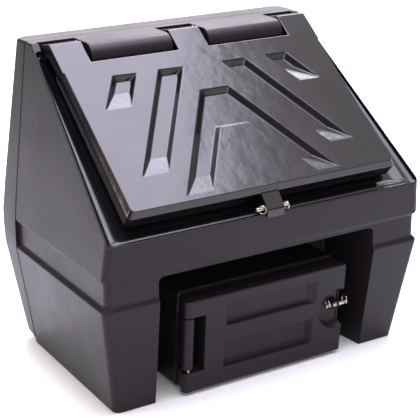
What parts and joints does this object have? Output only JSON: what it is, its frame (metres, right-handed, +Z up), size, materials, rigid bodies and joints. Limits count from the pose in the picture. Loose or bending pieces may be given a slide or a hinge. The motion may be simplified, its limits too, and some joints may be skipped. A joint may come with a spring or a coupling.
{
  "type": "coal bunker",
  "caption": "Moulded plastic coal bunker with a sloping hinged filling lid, chevron stiffening recesses, a front chute hatch between two feet, and pinned latches with split rings.",
  "frame": {"origin": "middle of the footprint at ground level", "axes": "+X to the right seen from the front, +Y to the back, +Z up; the hatch and the lid's latch face -Y"},
  "size_m": [1.0178, 0.7056, 0.9173],
  "materials": {
    "shell": "black polyethylene, rotationally moulded, satin",
    "lid": "black polyethylene, rotationally moulded, satin",
    "hatch": "black polyethylene, rotationally moulded, satin",
    "rod": "zinc plated, slightly dulled",
    "pin": "yellowish zinc plate",
    "ring": "bright nickel-plated spring wire"
  },
  "bodies": {
    "shell": {"bunker_body": "shell", "lid_hinge_pin_left": "rod", "lid_hinge_pin_right": "rod", "lid_hinge_ring_left": "ring", "lid_hinge_ring_right": "ring", "hatch_hinge_pin": "rod"},
    "lid": {"lid": "lid"},
    "lid_pin": {"lid_latch_pin": "pin"},
    "lid_ring_left": {"lid_latch_ring_left": "ring"},
    "lid_ring_right": {"lid_latch_ring_right": "ring"},
    "hatch": {"hatch_door": "hatch"},
    "hatch_pin": {"hatch_latch_pin": "pin"},
    "hatch_ring_left": {"hatch_latch_ring_left": "ring"},
    "hatch_ring_right": {"hatch_latch_ring_right": "ring"}
  },
  "joints": [
    {"name": "lid_hinge", "type": "hinge", "parent": "shell", "child": "lid", "pos_m": [0, 0.17383, 0.89097], "axis": [-1, 0, 0], "range_deg": [0, 110]},
    {"name": "hatch_hinge", "type": "hinge", "parent": "shell", "child": "hatch", "pos_m": [-0.245, -0.2892, 0.149], "axis": [0, 0, -1], "range_deg": [0, 95]},
    {"name": "lid_pin_slide", "type": "slide", "parent": "lid", "child": "lid_pin", "axis": [1, 0, 0], "range_m": [-0.004, 0.001]},
    {"name": "hatch_pin_slide", "type": "slide", "parent": "hatch", "child": "hatch_pin", "axis": [1, 0, 0], "range_m": [-0.003, 0.002]},
    {"name": "lid_ring_left_swing", "type": "hinge", "parent": "lid_pin", "child": "lid_ring_left", "pos_m": [-0.0445, -0.33053, 0.5124], "axis": [0, -0.0872, -0.9962], "range_deg": [0, 90]},
    {"name": "lid_ring_right_swing", "type": "hinge", "parent": "lid_pin", "child": "lid_ring_right", "pos_m": [0.0385, -0.33053, 0.5124], "axis": [0, 0.0872, 0.9962], "range_deg": [-10, 90]},
    {"name": "hatch_ring_left_swing", "type": "hinge", "parent": "hatch_pin", "child": "hatch_ring_left", "pos_m": [0.2125, -0.29683, 0.161], "axis": [0, -1, 0], "range_deg": [0, 180]},
    {"name": "hatch_ring_right_swing", "type": "hinge", "parent": "hatch_pin", "child": "hatch_ring_right", "pos_m": [0.2695, -0.29683, 0.161], "axis": [0, 1, 0], "range_deg": [0, 174]}
  ]
}
